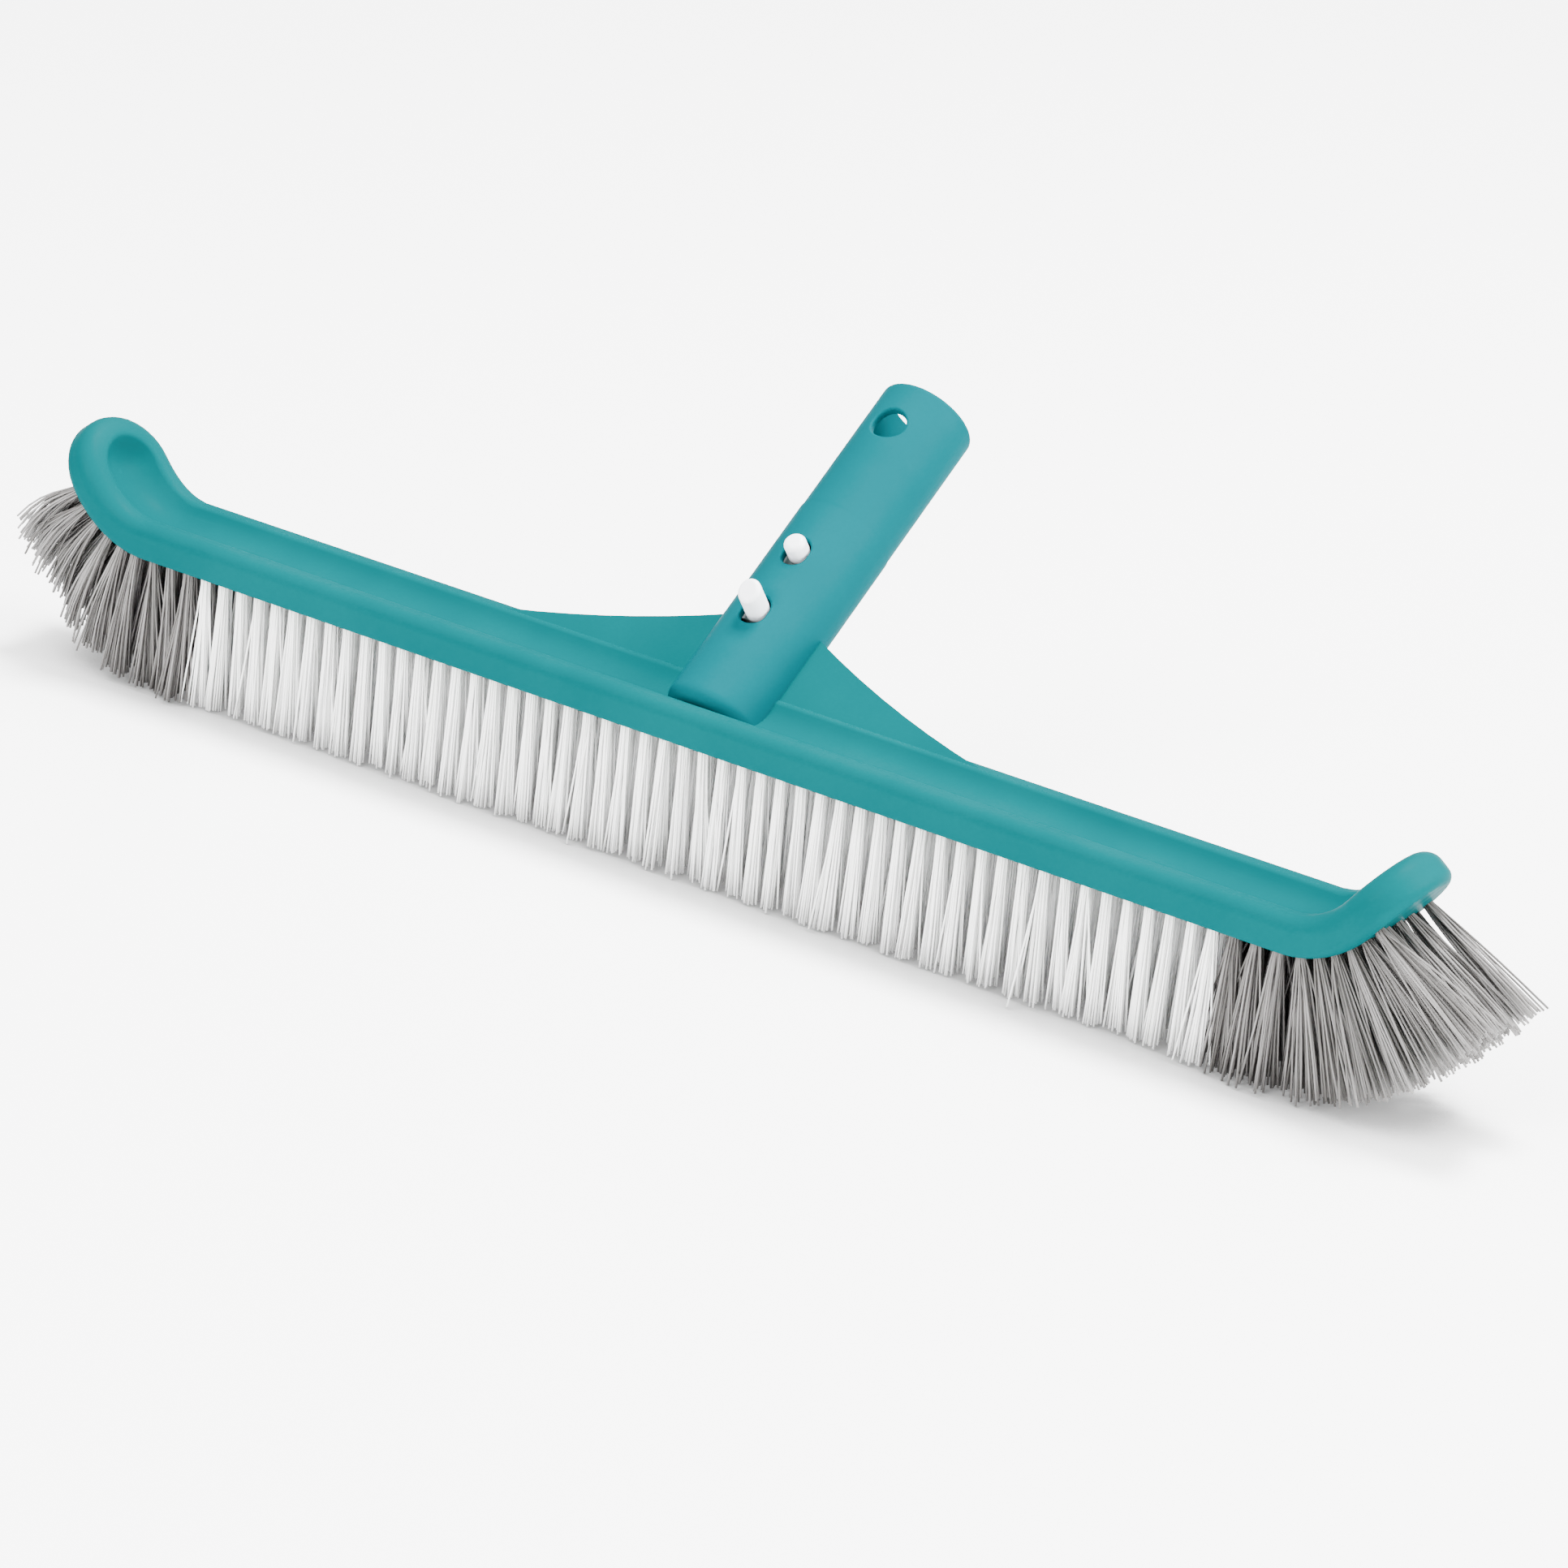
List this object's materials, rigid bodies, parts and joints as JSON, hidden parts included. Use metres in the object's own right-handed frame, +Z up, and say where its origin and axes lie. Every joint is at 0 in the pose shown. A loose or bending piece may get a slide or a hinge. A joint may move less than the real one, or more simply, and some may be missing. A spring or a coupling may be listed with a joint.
{
  "type": "pool wall brush",
  "caption": "Long plastic pool brush: shallow tray-shaped back with upturned ends, dense bristle rows and a sloping tube whose spring clip locks into a pole.",
  "frame": {"origin": "centre of the bristle face: middle of the brush at the bristle tips, which stand on the floor", "axes": "+X along the brush, +Y away from the user's front side towards the pole socket's mouth, +Z up"},
  "size_m": [0.5038, 0.1185, 0.1186],
  "materials": {
    "back": "satin moulded teal polypropylene",
    "tube": "satin moulded teal polypropylene, a little bluer",
    "clip": "white nylon, satin",
    "white_bristles": "white nylon filament",
    "grey_bristles": "grey nylon filament",
    "staples": "flat stainless wire"
  },
  "bodies": {
    "brush": {"brush_back": "back", "handle_tube": "tube", "clip_bend": "clip", "white_tufts_row_1": "white_bristles", "white_tufts_row_2": "white_bristles", "white_tufts_row_3": "white_bristles", "white_tufts_row_4": "white_bristles", "white_tufts_row_5": "white_bristles", "grey_tufts_left_row_1": "grey_bristles", "grey_tufts_left_row_2": "grey_bristles", "grey_tufts_left_row_3": "grey_bristles", "grey_tufts_left_row_4": "grey_bristles", "grey_tufts_left_row_5": "grey_bristles", "grey_tufts_right_row_1": "grey_bristles", "grey_tufts_right_row_2": "grey_bristles", "grey_tufts_right_row_3": "grey_bristles", "grey_tufts_right_row_4": "grey_bristles", "grey_tufts_right_row_5": "grey_bristles", "tuft_anchors_row_1": "staples", "tuft_anchors_row_2": "staples", "tuft_anchors_row_3": "staples", "tuft_anchors_row_4": "staples", "tuft_anchors_row_5": "staples"},
    "front_clip": {"front_clip_leg": "clip"},
    "rear_clip": {"rear_clip_leg": "clip"}
  },
  "joints": [
    {"name": "front_clip_press", "type": "hinge", "parent": "brush", "child": "front_clip", "pos_m": [0, 0.07046, 0.0948], "axis": [1, 0, 0], "range_deg": [0, 8.2], "stiffness_Nm_per_rad": 3, "springref_deg": -2.86},
    {"name": "rear_clip_press", "type": "hinge", "parent": "brush", "child": "rear_clip", "pos_m": [0, 0.0739, 0.08989], "axis": [-1, 0, 0], "range_deg": [0, 8.2], "stiffness_Nm_per_rad": 3, "springref_deg": -2.86}
  ]
}
